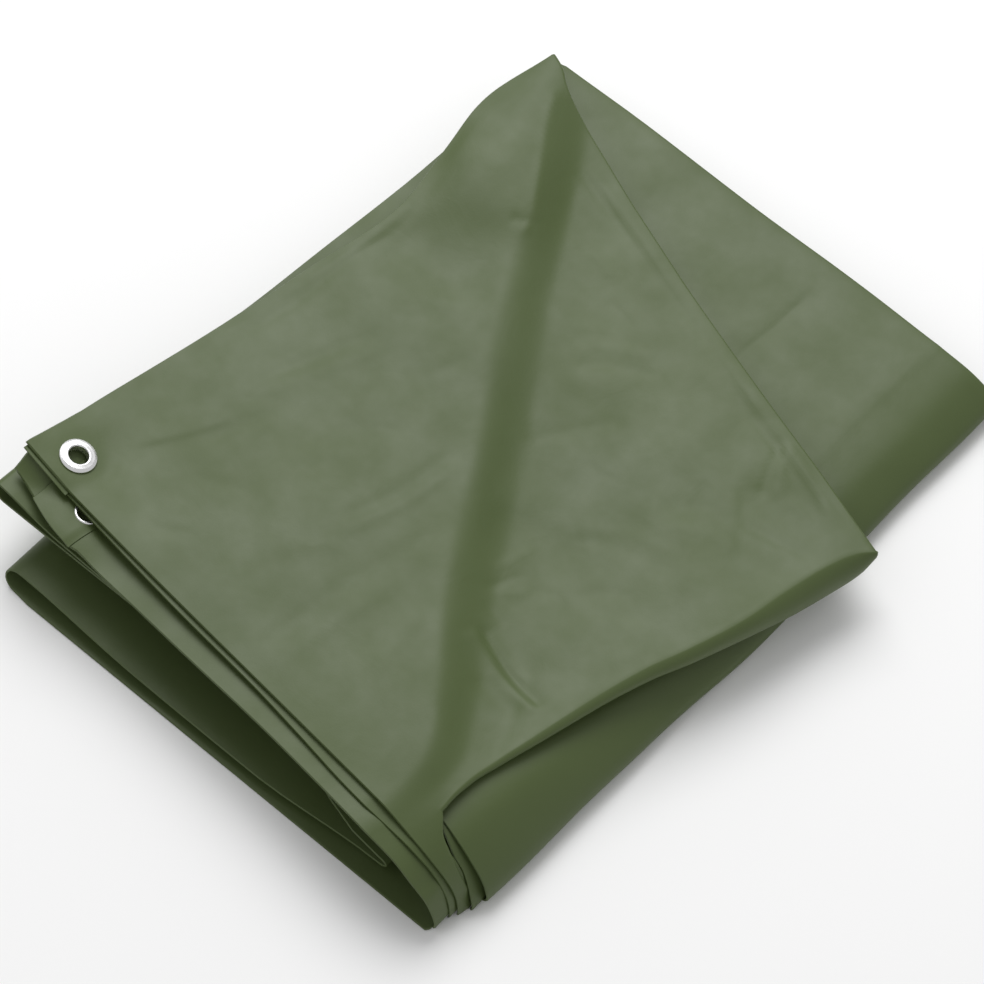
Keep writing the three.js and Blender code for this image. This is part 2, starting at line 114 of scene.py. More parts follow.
# near edge of the spine (x, y) from the shoulder to the bulge, and of the layer just inside it (x, z, y)
SPINE_NEAR = [(120, -218), (126, -201.5), (135, -203.4), (143, -205.0), (150, -206.1), (157, -207.2), (163, -208.0), (168, -209.3), (171.4, -211.0)]
SECOND_NEAR = [(121.5, 42.6, -199.0), (127.5, 42.4, -202.0), (132.8, 41.3, -205.3), (140.8, 37.9, -209.0), (147.8, 33.0, -211.7), (154.8, 26.5, -212.9),
               (160.4, 19.2, -215.0), (164.8, 12.7, -217.4), (167.2, 7.0, -218.9), (167.0, 3.0, -219.2), (165.4, 1.0, -218.6)]


# ---- interpolation ------------------------------------------------------------
def clamp01(k):
    return np.clip(k, 0.0, 1.0)


def smooth(k):
    c = clamp01(np.asarray(k, float))
    return c * c * (3 - 2 * c)


def mix(a, b, k):
    return a + (b - a) * k


def curve(keys, values, k):
    """Smooth curve through the keys (first axis), with held slopes past both ends."""
    keys, values, k = np.asarray(keys, float), np.asarray(values, float), np.asarray(k, float)
    shape = k.shape
    k = k.reshape(-1)
    n = keys.shape[0]
    keys = np.broadcast_to(keys.reshape(n, -1), (n, k.size)) if keys.ndim == 1 else keys.reshape(n, -1)
    values = np.broadcast_to(values.reshape(n, -1), (n, k.size)) if values.ndim == 1 else values.reshape(n, -1)
    d = np.diff(values, axis=0) / np.diff(keys, axis=0)
    m = np.zeros((n, k.size))
    m[0], m[-1] = d[0], d[-1]
    if n > 2:
        l, r = d[:-1], d[1:]
        ok = l * r > 0
        m[1:-1] = np.where(ok, 2 * l * r / np.where(ok, l + r, 1.0), 0.0)
    i = np.zeros(k.size, int)
    for a in range(1, n - 1):
        i += (k > keys[a]).astype(int)
    c = np.arange(k.size)
    x0, x1, v0, v1 = keys[i, c], keys[i + 1, c], values[i, c], values[i + 1, c]
    h = x1 - x0
    u = (k - x0) / h
    m0, m1 = m[i, c] * h, m[i + 1, c] * h
    out = ((2 * u ** 3 - 3 * u ** 2 + 1) * v0 + (u ** 3 - 2 * u ** 2 + u) * m0
           + (-2 * u ** 3 + 3 * u ** 2) * v1 + (u ** 3 - u ** 2) * m1)
    out = np.where(k < keys[0], values[0] + m[0] * (k - keys[0]), out)
    out = np.where(k > keys[-1], values[-1] + m[-1] * (k - keys[-1]), out)
    return out.reshape(shape)


def column(rows, c, y):
    return curve([r[0] for r in rows], [r[c] for r in rows], y)


def pair(rows, c, k, y):
    return curve([r[0] for r in rows], [r[c][k] for r in rows], y)


def along(points, n):
    """n points evenly along a smooth line through points (K, 3)."""
    p = np.asarray(points, float)
    seg = np.sqrt(np.linalg.norm(np.diff(p, axis=0), axis=1))
    kk = np.concatenate([[0], np.cumsum(seg)])
    m = np.zeros_like(p)
    for a in range(len(p)):
        if a == 0:
            m[a] = (p[1] - p[0]) / (kk[1] - kk[0])
        elif a == len(p) - 1:
            m[a] = (p[-1] - p[-2]) / (kk[-1] - kk[-2])
        else:
            d0, d1 = kk[a] - kk[a - 1], kk[a + 1] - kk[a]
            m[a] = ((p[a] - p[a - 1]) / d0 * d1 + (p[a + 1] - p[a]) / d1 * d0) / (d0 + d1)
    fine = np.linspace(0, kk[-1], 400)
    i = np.clip(np.searchsorted(kk, fine, side="right") - 1, 0, len(p) - 2)
    h = (kk[i + 1] - kk[i])[:, None]
    u = ((fine - kk[i]) / h[:, 0])[:, None]
    q = ((2 * u ** 3 - 3 * u ** 2 + 1) * p[i] + (u ** 3 - 2 * u ** 2 + u) * m[i] * h
         + (-2 * u ** 3 + 3 * u ** 2) * p[i + 1] + (u ** 3 - u ** 2) * m[i + 1] * h)
    length = np.concatenate([[0], np.cumsum(np.linalg.norm(np.diff(q, axis=0), axis=1))])
    want = np.linspace(0, length[-1], n) if np.isscalar(n) else np.asarray(n) * length[-1]
    return np.stack([np.interp(want, length, q[:, c]) for c in range(3)], 1)


# ---- relief: soft troughs and ridges ---------------------------------------------
# kind: "soft" rounded, "sharp" pressed crease, "step" one side higher, "bank" the same but broad.
# Each row: kind, height, half width, fade length at the ends, points (x, y)
def line_distance(x, y, pts):
    """distance to a line of points, signed (+ to its left), and the place along it in mm"""
    best = np.full(x.shape, 1e9)
    sign = np.ones(x.shape)
    where = np.zeros(x.shape)
    total = 0.0
    for (ax, ay), (bx, by) in zip(pts[:-1], pts[1:]):
        dx, dy = bx - ax, by - ay
        L = math.hypot(dx, dy)
        raw = ((x - ax) * dx + (y - ay) * dy) / (L * L)
        k = clamp01(raw)
        d = np.hypot(x - ax - k * dx, y - ay - k * dy)
        side = np.sign(dx * (y - ay) - dy * (x - ax))
        near = d < best
        best = np.where(near, d, best)
        sign = np.where(near, side, sign)
        where = np.where(near, total + k * L, where)
        total += L
    return best, sign, where, total


def relief(x, y, rows):
    z = np.zeros(x.shape)
    for kind, height, width, fade, pts in rows:
        far = 7 * width if kind == "bank" else 4 * width + 4
        x0, x1 = min(p[0] for p in pts) - far, max(p[0] for p in pts) + far
        y0, y1 = min(p[1] for p in pts) - far, max(p[1] for p in pts) + far
        pick = (x > x0) & (x < x1) & (y > y0) & (y < y1)
        if not pick.any():
            continue
        px, py = x[pick], y[pick]
        d, side, where, total = line_distance(px, py, pts)
        ends = smooth(np.minimum(where, total - where) / max(fade, 0.1) + 0.0)
        ends = np.where(d > 0, ends, ends)
        if kind == "soft":
            h = np.exp(-(d / width) ** 2)
        elif kind == "bank":
            h = 0.5 * np.tanh(side * d / width) * np.exp(-(d / (3.4 * width)) ** 2)
        elif kind == "sharp":
            h = np.exp(-(np.sqrt(d * d + 0.6 ** 2) - 0.6) / width)
        else:
            h = np.tanh(side * d / (0.35 * width)) * np.exp(-(d / (2.2 * width)) ** 2)
        z[pick] += height * h * ends
    return z


CREASES_TOP = [
    # the broad hollow below the far corner
    ("soft", -2.8, 24.0, 40, [(-176, 56), (-140, 64), (-104, 74), (-70, 84)]),
    ("sharp", 0.9, 2.6, 12, [(-148, 215), (-141, 201), (-131, 184), (-122, 171), (-109, 152), (-96, 133), (-90, 112)]),
    ("soft", 1.2, 20.0, 20, [(-185, 140), (-150, 140), (-116, 142)]),
    # upper-left margin: two wrinkles along the left edge
    ("soft", 0.35, 3.4, 30, [(-159, 84), (-163, 43), (-169, 6), (-172, -24), (-179, -57), (-190, -110)]),
    ("soft", -0.35, 3.2, 18, [(-154, 70), (-159, 30), (-161, -7), (-168, -47)]),
    # facets below the hollow at the upper left
    ("soft", -0.3, 7.0, 16, [(-150, 92), (-136, 78), (-112, 66), (-88, 64)]),
    ("soft", 0.5, 8.0, 14, [(-116, 44), (-103, 48), (-86, 52), (-70, 56)]),
    ("sharp", -0.9, 2.4, 4, [(-106, 121), (-98, 125), (-90, 131)]),
    # long faint wrinkles on the panel
    ("soft", -0.45, 5.0, 16, [(-140, -66), (-123, -22), (-108, 12)]),
    ("soft", 0.4, 5.0, 16, [(-131, -70), (-113, -26), (-98, 6)]),
    ("soft", -0.4, 5.0, 14, [(-132, -122), (-118, -76), (-110, -58)]),
    ("step", 0.45, 6.0, 14, [(-160, -150), (-140, -118), (-128, -92)]),
    ("soft", -0.4, 4.5, 18, [(-40, -112), (-25, -66), (-20, -16)]),
    ("soft", 0.5, 4.5, 18, [(-33, -116), (-17, -70), (-12, -24)]),
    ("soft", -0.5, 6.0, 22, [(-12, -200), (-8, -150), (3, -95), (12, -60)]),
    ("soft", 0.55, 6.5, 22, [(2, -196), (7, -150), (18, -104)]),
    ("soft", 0.6, 7.0, 16, [(48, -172), (41, -138), (36, -112)]),
    ("soft", -0.35, 4.0, 10, [(-120, -186), (-85, -164)]),
    ("soft", -0.3, 4.0, 10, [(-142, -86), (-115, -62)]),
    ("soft", -0.45, 4.5, 12, [(-66, 4), (-56, 38)]),
    ("soft", -0.35, 5.0, 12, [(-126, -142), (-85, -124)]),
    ("soft", 0.35, 6.0, 14, [(-60, -150), (-20, -110)]),
    ("soft", -0.35, 5.0, 12, [(-84, -60), (-46, -28)]),
    ("soft", 0.3, 5.0, 12, [(-92, -96), (-60, -60)]),
    # flap: creases that start at the foot of the bank
    ("step", -1.2, 4.2, 7, [(64, -100), (94, -111), (112, -115), (128, -117)]),
    ("soft", 0.7, 3.4, 9, [(66, -95), (92, -104), (112, -108)]),
    ("soft", -0.6, 6.0, 10, [(82, -126), (106, -126), (124, -126)]),
    ("sharp", -0.9, 9.0, 12, [(0, 12), (9, 28), (16, 38), (25, 51), (38, 68)]),
    ("sharp", -0.6, 2.4, 8, [(50, -79), (62, -50)]),
    ("sharp", 0.5, 2.4, 8, [(46, -66), (54, -34)]),
    ("sharp", -0.5, 2.4, 8, [(54, -84), (78, -88)]),
    ("sharp", 0.45, 2.2, 7, [(56, -76), (72, -60)]),
    ("soft", 0.5, 4.0, 12, [(-21, 75), (-11, 93), (23, 111)]),
    ("soft", -0.5, 4.0, 12, [(-14, 68), (0, 86), (34, 102)]),
    ("sharp", 0.45, 2.4, 8, [(-61, 143), (-31, 136)]),
    ("sharp", -0.45, 2.4, 8, [(-30, 123), (0, 117)]),
    ("sharp", -1.0, 2.6, 8, [(113, 117), (122, 93), (130, 73)]),
    ("sharp", 0.75, 2.6, 8, [(120, 118), (129, 95), (138, 78)]),
    ("soft", -0.5, 3.6, 10, [(130, 54), (158, 58), (182, 63)]),
    ("sharp", 0.5, 2.4, 8, [(140, 86), (167, 80)]),
    ("soft", 0.25, 3.5, 16, [(60, -10), (92, 8), (128, 14)]),
    ("soft", -0.28, 4.5, 16, [(58, -20), (92, -4), (134, 4)]),
    ("soft", -0.5, 6.0, 14, [(86, 30), (110, 48), (136, 52)]),
    ("soft", 0.45, 5.0, 14, [(96, 22), (122, 36), (150, 40)]),
    ("soft", 0.4, 5.0, 14, [(104, -60), (122, -44), (146, -40)]),
    ("soft", -0.45, 5.0, 14, [(88, -50), (108, -30), (126, -24)]),
    # broad facets of the flap
    ("bank", 1.3, 8.0, 14, [(40, 110), (60, 117), (81, 121), (104, 119)]),
    ("bank", 2.6, 13.0, 9, [(110, 74), (124, 84), (140, 98), (150, 108)]),
    ("sharp", 0.5, 4.0, 8, [(112, 113), (118, 100), (121, 92), (127, 76)]),
    ("bank", 1.4, 8.0, 14, [(12, -32), (30, -25), (50, -18), (80, -14)]),
    ("bank", 1.1, 8.0, 14, [(66, -80), (92, -88), (118, -96)]),
    ("bank", 1.2, 9.0, 14, [(-12, 52), (8, 68), (34, 85)]),
    ("bank", 0.9, 7.0, 14, [(76, 22), (102, 16), (130, 16)]),
    ("bank", 0.8, 7.0, 14, [(60, 66), (90, 60), (118, 52)]),
    ("bank", -0.8, 8.0, 14, [(96, -62), (120, -52), (140, -30)]),
    ("sharp", 0.35, 2.6, 8, [(78, 44), (88, 30), (92, 14)]),
    ("sharp", -0.35, 2.6, 8, [(100, 66), (104, 48), (112, 36)]),
    ("sharp", 0.3, 2.4, 8, [(60, 2), (70, -12), (86, -20)]),
    ("sharp", -0.3, 2.4, 8, [(34, 30), (50, 26), (62, 34)]),
    ("sharp", 0.35, 2.4, 8, [(132, 100), (138, 86), (148, 74)]),
    ("sharp", -0.3, 2.4, 8, [(66, -60), (84, -52), (98, -58)]),
    ("sharp", 0.3, 2.4, 8, [(-34, 92), (-16, 104), (2, 104)]),
    # pressed line just inside the far fold of the flap
    ("soft", -0.5, 2.4, 20, [(-110, 184), (-70, 172), (-24, 157), (40, 137), (96, 114), (150, 93)]),
    ("soft", 0.55, 2.2, 20, [(-104, 190), (-66, 178), (-18, 163), (46, 143), (102, 120), (160, 98)]),
    ("soft", 0.6, 3.2, 24, [(50, 146), (84, 133), (118, 117), (150, 101), (184, 86)]),
    ("sharp", -0.6, 3.6, 12, [(36, 132), (47, 128), (61, 123), (77, 118), (100, 109)]),
]
# banks that run out to the sheet's left edge
BANKS = [
    ("bank", 5.6, 16.0, 40, [(-198, 80), (-162, 93), (-130, 107), (-102, 121), (-78, 134)]),
]
CREASES_LOWER = [
    ("sharp", -0.9, 5.0, 14, [(52, 144), (54, 166), (56, 180), (56, 194), (58, 218)]),
    ("soft", 0.5, 5.0, 16, [(60, 216), (76, 198), (92, 180)]),
    ("soft", -0.35, 8.0, 20, [(100, 130), (120, 170), (128, 220)]),
    ("soft", 0.3, 7.0, 20, [(-60, 205), (-20, 190), (14, 186)]),
]


def undulate(x, y, k):
    """slow uneven rise and fall of resting cloth"""
    return k * (0.55 * np.sin(x / 37.0 + 1.3 * np.sin(y / 61.0) + 0.4) * np.sin(y / 45.0 - 0.6)
                + 0.35 * np.sin((x + y) / 21.0 + 0.9 * np.sin((x - y) / 47.0))
                + 0.18 * np.sin((x - 0.7 * y) / 11.5 + 1.7) * np.sin(y / 17.0 + x / 60.0))


def table_top(x, y):
    x, y = np.asarray(x, float), np.asarray(y, float)
    flat_x, flat_y = x.reshape(-1), y.reshape(-1)
    ys = [r[0] for r in TOP]
    xs = np.stack([curve(ys, [r[c][0] for r in TOP], flat_y) for c in range(1, 9)])
    zs = np.stack([curve(ys, [r[c][1] for r in TOP], flat_y) for c in range(1, 9)])
    return curve(xs, zs, flat_x).reshape(x.shape)


def lower_z(x, y):
    return mix(column(LEFT_Z, 1, y), pair(SPINE, 1, 1, y), smooth((x + 150) / 250))


def layer_z(x, y, k):
    return mix(lower_z(x, y), table_top(x, y), k)


def left_corner(x, y):
    """1 at the curled-up near left corner, 0 away from it"""
    return smooth((-150 - x) / 40) * smooth((-120 - y) / 60)


EYELETS = dict(top=((-175.1, -177.2, 64.7), (0.25, 0.24, 0.938)), second=((-148.9, -196.9, 54.35), (0.168, 0.183, 0.9687)))


def flatten_at(x, y, z, which, r0=11.8, r1=36.0):
    (cx, cy, cz), (nx, ny, nz) = EYELETS[which]
    plane = cz - (nx * (x - cx) + ny * (y - cy)) / nz
    k = smooth((np.hypot(x - cx, y - cy) - r0) / (r1 - r0))
    return mix(plane, z, k)


# ---- passes --------------------------------------------------------------------
def left_at(t):
    y = mix(NEAR["left"], FAR["left"], t)
    return column(LEFT_EDGE, 1, y), y


def front_at(t):
    y = mix(NEAR["front"], FAR["front"], t)
    return column(FRONT_FOLD, 1, y), y, column(FRONT_FOLD, 2, y), column(FRONT_FOLD, 3, y)


def top_plan(s, t):
    lx, ly = left_at(t)
    fx, fy, _, nose = front_at(t)
    x = mix(lx, fx - nose, s)
    return x, mix(ly, fy, s) - column(FAR_BOW, 1, s) * t ** 3


def top_sheet(s, t):
    s, t = np.broadcast_arrays(np.asarray(s, float), np.asarray(t, float))
    x, y = top_plan(s, t)
    z = table_top(x, y)
    inside = smooth(s / 0.03) * (0.25 + 0.75 * smooth((1 - s) / 0.04)) * (0.2 + 0.8 * smooth(t / 0.06)) * smooth((1 - t) / 0.02)
    z = z + relief(x, y, CREASES_TOP) * inside + undulate(x, y, 1.0) * inside
    z = z + relief(x, y, BANKS) * (0.3 + 0.7 * smooth(s / 0.08)) * smooth((1 - t) / 0.02)
    z = flatten_at(x, y, z, "top", 12.5, 27.0)
    return np.stack([x, y, z], -1)


def inner_sheet(s, t):
    """the second sheet of the doubled top; t = 0 is its open hem"""
    s, t = np.broadcast_arrays(np.asarray(s, float), np.asarray(t, float))
    fx, fy = top_plan(s, np.ones_like(s))
    step = INNER_HEM["step"] * smooth(s / 0.15) * (1 - smooth((s - 0.15) / 0.6))
    nx = mix(INNER_HEM["left"][0], INNER_HEM["right"][0], s)
    ny = mix(INNER_HEM["left"][1], INNER_HEM["right"][1], s) - step
    ny = ny + 1.6 * smooth((s - INNER_HEM["corner"][1]) / 0.02) * (1 - smooth((s - 0.3) / 0.3))
    x, y = mix(nx, fx, t), mix(ny, fy, t)
    split = mix(SPLIT_INNER - 0.14 * smooth((s - 0.12) / 0.15) * (1 - 0.5 * smooth((s - 0.5) / 0.35)) * (1 - smooth(t / 0.3)), 0.87, smooth((t - 0.75) / 0.25))
    split = mix(split, 0.88, smooth((-150 - x) / 40) * smooth((-110 - y) / 40) * smooth((y + 207) / 15))
    z = layer_z(x, y, split) + undulate(x + 40, y, 0.35) * (1 - smooth((t - 0.8) / 0.2))
    z = flatten_at(x, y, z, "second")
    return np.stack([x, y, z], -1)


def front_fold(phi, t):
    a = top_sheet(np.ones_like(t), t)
    loop, reach = front_at(t)[2:]
    wob = 0.4 * np.sin(t * 23.0 + 1.0) * np.sin(phi) * smooth((t - 0.2) / 0.3)
    return np.stack([a[..., 0] + (reach + wob) * np.abs(np.sin(phi)) ** (1 + 0.5 * smooth((t - 0.1) / 0.3)), a[..., 1], a[..., 2] - loop / 2 + loop / 2 * np.cos(phi)], -1)


def left_lower(t, far=None):
    y = mix(REACH["lower"][0], REACH["lower"][1], t)
    yy = mix(REACH["lower"][0], FAR_LOWER[1][1] if far is None else far, t)
    return column(LOWER_LEFT, 1, y) + 5, yy


def return_sheet(a, t):
    start = front_fold(np.full_like(t, PI), t)
    lx, ly = left_lower(t, FAR_RETURN)
    x, y = mix(start[..., 0], lx, a), mix(start[..., 1], ly, a)
    # its far end keeps just inside the far fold of the sheet above
    s = clamp01((x - left_at(1.0)[0]) / (front_at(1.0)[0] - left_at(1.0)[0]))
    above = mix(FAR["left"], FAR["front"], s) - column(FAR_BOW, 1, s) - 1.8
    line = mix(front_at(1.0)[1], FAR_RETURN, a)
    y = y - (line - above) * t ** 3 * smooth(s / 0.05) * smooth((1 - s) / 0.03)
    bed = layer_z(x, y, mix(SPLIT_LOWER, 0.46, left_corner(x, y)))
    hang = smooth(1 - np.abs(start[..., 0] - x) / mix(HANG[0], HANG[1], smooth((t - 0.35) / 0.5)))
    return np.stack([x, y, mix(bed, start[..., 2], hang)], -1)


def left_turn(phi, t):
    a = return_sheet(1.0, t)
    lx, _ = left_lower(t)
    ly = mix(REACH["lower"][0], mix(FAR_RETURN, FAR_LOWER[1][1], np.asarray(phi) / PI), t)
    z3 = lower_z(lx, ly)
    r = (a[..., 2] - z3) / 2
    return np.stack([lx - 5 * np.sin(phi), ly, z3 + r + r * np.cos(phi)], -1)


def lower_top(a, t):
    y = mix(REACH["lower"][0], REACH["lower"][1], t)
    lx, _ = left_lower(t)
    x = mix(lx, pair(SPINE, 1, 0, y), a)
    y = mix(REACH["lower"][0], column(FAR_LOWER, 1, x), t)
    show = smooth((y - 60) / 60.0)
    z = lower_z(x, y) + (relief(x, y, CREASES_LOWER) + undulate(x - 30, y + 20, 0.55)) * show
    return np.stack([x, y, z], -1)


SPINE_TS = None


def spine_columns(n, t):
    """(n, rows, 3): down the spine to the floor; its near edge is cut back to the hem line"""
    out = np.zeros((n, len(t), 3))
    for j, tj in enumerate(t):
        y = mix(REACH["lower"][0], REACH["lower"][1], tj)
        p = [(float(pair(SPINE, c, 0, y)), float(pair(SPINE, c, 1, y))) for c in (1, 2, 3, 4)]
        under = (mix(p[2][0], p[3][0], 0.30), 2.6)
        pts = np.array([(x, 0.0, z) for x, z in (p[0], p[1], p[2], under, p[3])])
        q = along(pts, n)
        q[:, 2] = np.maximum(q[:, 2], FLOOR_Z)
        k = np.linspace(0, 1, n)
        far_out = int(np.argmax(q[:, 0]))
        y0 = np.interp(q[:, 0] - (p[2][0] - 171.0), [v[0] for v in SPINE_NEAR], [v[1] for v in SPINE_NEAR])
        after = clamp01((np.arange(n) - far_out) / (n - 1 - far_out))
        y0 = np.where(after > 0, mix(y0[far_out], REACH["foot"][0], after), y0)
        y0[0] = REACH["lower"][0]
        q[:, 1] = mix(y0, mix(column(FAR_LOWER, 1, q[:, 0]), REACH["foot"][1], smooth(k)), tj)
        out[:, j] = q
    x, y, z = out[..., 0], out[..., 1], out[..., 2]
    wave = 0.9 * np.sin(y / 33.0 + 0.5) * np.sin(z / 14.0 + 0.8) + 0.5 * np.sin(y / 15.0 + z / 9.0)
    out[..., 0] += wave * smooth((z - 1) / 8) * smooth((42 - z) / 8) * 0.7
    return out


def floor_sheet(a, t):
    yf = mix(REACH["foot"][0], REACH["foot"][1], t)
    yr = mix(REACH["roll_in"], REACH["roll"][1], t)
    ym = mix(REACH["floor"][0], REACH["floor"][1], t)
    yp = mix(REACH["lower"][0], REACH["lower"][1], t)
    x = mix(pair(SPINE, 4, 0, yp), ROLL["start"], a)
    y = np.where(a < 0.5, mix(yf, ym, smooth(a / 0.014)), mix(ym, yr, smooth((a - 0.97) / 0.03)))
    return np.stack([x, y, np.full_like(y, FLOOR_Z)], -1)


def roll_z(x):
    return ROLL["settle"] + (ROLL["z"] - ROLL["settle"]) * np.exp(-((x - ROLL["start"]) / ROLL["over"]) ** 2)


def roll_turn(phi, t):
    y = mix(mix(REACH["roll_in"], REACH["roll"][0], smooth(phi / PI)), REACH["roll"][1], t)
    r = (ROLL["z"] - FLOOR_Z) / 2
    x = ROLL["start"] + (ROLL["outer"] - ROLL["start"]) * np.sin(phi) + 0 * y
    return np.stack([x, y, FLOOR_Z + r - r * np.cos(phi) + 0 * y], -1)


def upper_roll(a, t):
    y = mix(mix(REACH["roll"][0], REACH["upper"][0], smooth(a * 3)), REACH["upper"][1], t)
    x = mix(ROLL["start"], INNER["turn"] - 5, a) + 0 * y
    y = mix(y, mix(REACH["inner"][0], REACH["inner"][1], t), smooth(a * 3 - 2))
    return np.stack([x, y, roll_z(x)], -1)


def inner_turn(phi, t):
    y = mix(REACH["inner"][0], REACH["inner"][1], t)
    z0 = roll_z(INNER["turn"] - 5)
    r = (INNER["z"] - z0) / 2
    return np.stack([INNER["turn"] - 5 + 5 * np.sin(phi) + 0 * y, y, z0 + r - r * np.cos(phi) + 0 * y], -1)


def inner_end(a, t):
    y = mix(REACH["inner"][0] + INNER["slant"] * smooth(a * 1.1), REACH["inner"][1], t)
    return np.stack([mix(INNER["turn"] - 5, INNER["end"], a) + 0 * y, y, np.full_like(y, INNER["z"])], -1)


# ---- the cloth mesh --------------------------------------------------------------
class Cloth:
    def __init__(self):
        self.points, self.up, self.down, self.faces, self.count = [], [], [], [], 0

    def add(self, p, up=0.5, down=0.5):
        p = np.asarray(p, float)
        shape = p.shape[:-1]
        n = int(np.prod(shape))
        self.points.append(p.reshape(-1, 3))
        self.up.append(np.broadcast_to(up, shape).reshape(-1).astype(float))
        self.down.append(np.broadcast_to(down, shape).reshape(-1).astype(float))
        ids = np.arange(self.count, self.count + n).reshape(shape)
        self.count += n
        return ids

    def quads(self, ids, keep=None):
        q = np.stack([ids[:-1, :-1], ids[1:, :-1], ids[1:, 1:], ids[:-1, 1:]], -1)
        q = q[keep] if keep is not None else q.reshape(-1, 4)
        self.faces.extend(q.reshape(-1, 4).tolist())

    def halve(self, fine, coarse):
        """joins a column of 2n+1 points to the next column of n+1 points"""
        for j in range(len(coarse) - 1):
            a, b, c = int(fine[2 * j]), int(fine[2 * j + 1]), int(fine[2 * j + 2])
            d, e = int(coarse[j]), int(coarse[j + 1])
            self.faces += [[a, d, b], [d, e, b], [b, e, c]]

    def halve_rows(self, fine, coarse):
        """joins a row of 2n+1 points (along the columns) to the next row of n+1 points"""
        for j in range(len(coarse) - 1):
            a, b, c = int(fine[2 * j]), int(fine[2 * j + 1]), int(fine[2 * j + 2])
            d, e = int(coarse[j]), int(coarse[j + 1])
            self.faces += [[a, b, d], [d, b, e], [b, c, e]]

    def build(self, name):
        p = np.concatenate(self.points)
        up, down = np.concatenate(self.up), np.concatenate(self.down)
        normal = np.zeros_like(p)
        four = np.array([f for f in self.faces if len(f) == 4], int)
        three = np.array([f for f in self.faces if len(f) == 3], int).reshape(-1, 3)
        m = np.cross(p[four[:, 2]] - p[four[:, 0]], p[four[:, 3]] - p[four[:, 1]])
        for c in range(4):
            np.add.at(normal, four[:, c], m)
        if len(three):
            m3 = np.cross(p[three[:, 1]] - p[three[:, 0]], p[three[:, 2]] - p[three[:, 0]])
            for c in range(3):
                np.add.at(normal, three[:, c], m3)
        normal /= np.maximum(np.linalg.norm(normal, axis=1, keepdims=True), 1e-9)
        edges = {}
        for f in self.faces:
            for a, b in zip(f, f[1:] + f[:1]):
                if (b, a) in edges:
                    del edges[(b, a)]
                else:
                    edges[(a, b)] = True
        edges = np.array(list(edges), int)
        out = np.zeros_like(p)
        d = p[edges[:, 1]] - p[edges[:, 0]]
        d /= np.maximum(np.linalg.norm(d, axis=1, keepdims=True), 1e-9)
        for c in range(2):
            np.add.at(out, edges[:, c], np.cross(d, normal[edges[:, c]]))
        out /= np.maximum(np.linalg.norm(out, axis=1, keepdims=True), 1e-9)
        used = np.zeros(len(p), bool)
        for f in (four, three):
            if len(f):
                used[f.reshape(-1)] = True
        rim = np.unique(edges)
        n = len(p)
        top = p + normal * up[:, None]
        low = p - normal * down[:, None]
        mid = p[rim] + normal[rim] * ((up - down) / 2)[rim, None] + out[rim] * ((up + down) / 2)[rim, None]
        rim_id = np.full(n, -1)
        rim_id[rim] = 2 * n + np.arange(len(rim))
        verts = np.concatenate([top, low, mid])
        faces = [list(f) for f in self.faces] + [[v + n for v in f[::-1]] for f in self.faces]
        for a, b in edges.tolist():
            ma, mb = int(rim_id[a]), int(rim_id[b])
            faces.append([a, ma, mb, b])
            faces.append([ma, a + n, b + n, mb])
        new = np.full(len(verts), -1)
        keep = np.concatenate([used, used, np.ones(len(rim), bool)])
        new[keep] = np.arange(keep.sum())
        mesh = bpy.data.meshes.new(name)
        mesh.from_pydata((verts[keep] * MM).tolist(), [], [[int(new[v]) for v in f] for f in faces])
        mesh.validate()
        for poly in mesh.polygons:
            poly.use_smooth = True
        sharp = np.zeros(len(verts), bool)
        sharp[rim] = True
        sharp[rim + n] = True
        sharp = sharp[keep]
        ev = np.zeros(len(mesh.edges) * 2, int)
        mesh.edges.foreach_get("vertices", ev)
        ev = ev.reshape(-1, 2)
        border = set()
        for a, b in edges.tolist():
            border.add((min(new[a], new[b]), max(new[a], new[b])))
            border.add((min(new[a + n], new[b + n]), max(new[a + n], new[b + n])))
        flags = [(min(a, b), max(a, b)) in border for a, b in ev.tolist()]
        attribute = mesh.attributes.get("sharp_edge") or mesh.attributes.new("sharp_edge", "BOOLEAN", "EDGE")
        attribute.data.foreach_set("value", flags)
        obj = bpy.data.objects.new(name, mesh)
        bpy.context.scene.collection.objects.link(obj)
        return obj


cloth = Cloth()

# rows: close together by the open hem, wider apart further back
T_TURN = (-201.5 - NEAR["front"]) / (FAR["front"] - NEAR["front"])   # where the front fold starts
ts = np.concatenate([np.linspace(0, T_TURN, 13), np.linspace(T_TURN, 0.16, 13)[1:], np.linspace(0.16, 1, 125)[1:]])
JC = 12
half = ts[::2]
ss = np.concatenate([np.linspace(0, 0.2, 33), np.linspace(0.2, 1, 110)[1:]])
if len(ss) % 2 == 0:
    ss = np.concatenate([np.linspace(0, 0.2, 34), np.linspace(0.2, 1, 110)[1:]])
S, T = np.meshgrid(ss, ts, indexing="ij")
top = top_sheet(S, T)


def hem_extra(s, t, corner_s):
    """the folded-under hem makes the sheet thicker near its open edge, most at the corner"""
    return 0.45 * (1 - smooth((t - 0.085) / 0.006)) + 0.5 * (1 - smooth((s - corner_s) / 0.012)) * (1 - smooth((t - 0.085) / 0.006))


top_ids = cloth.add(top, 0.5, 0.5 + hem_extra(S, T, 0.115))
centre = np.array(EYELETS["top"][0])
mid_face = (top[:-1, :-1] + top[1:, :-1] + top[1:, 1:] + top[:-1, 1:]) / 4
keep = np.linalg.norm(mid_face - centre, axis=-1) > 8.4
cloth.quads(top_ids, keep)

# front fold, from the turning row on
fine = ts[JC:]
nose_phi = np.linspace(0, PI, 15)[1:]
nose = np.stack([front_fold(np.full_like(fine, p), fine) for p in nose_phi])
nose_ids = cloth.add(nose)
cloth.quads(np.concatenate([top_ids[-1:, JC:], nose_ids]))

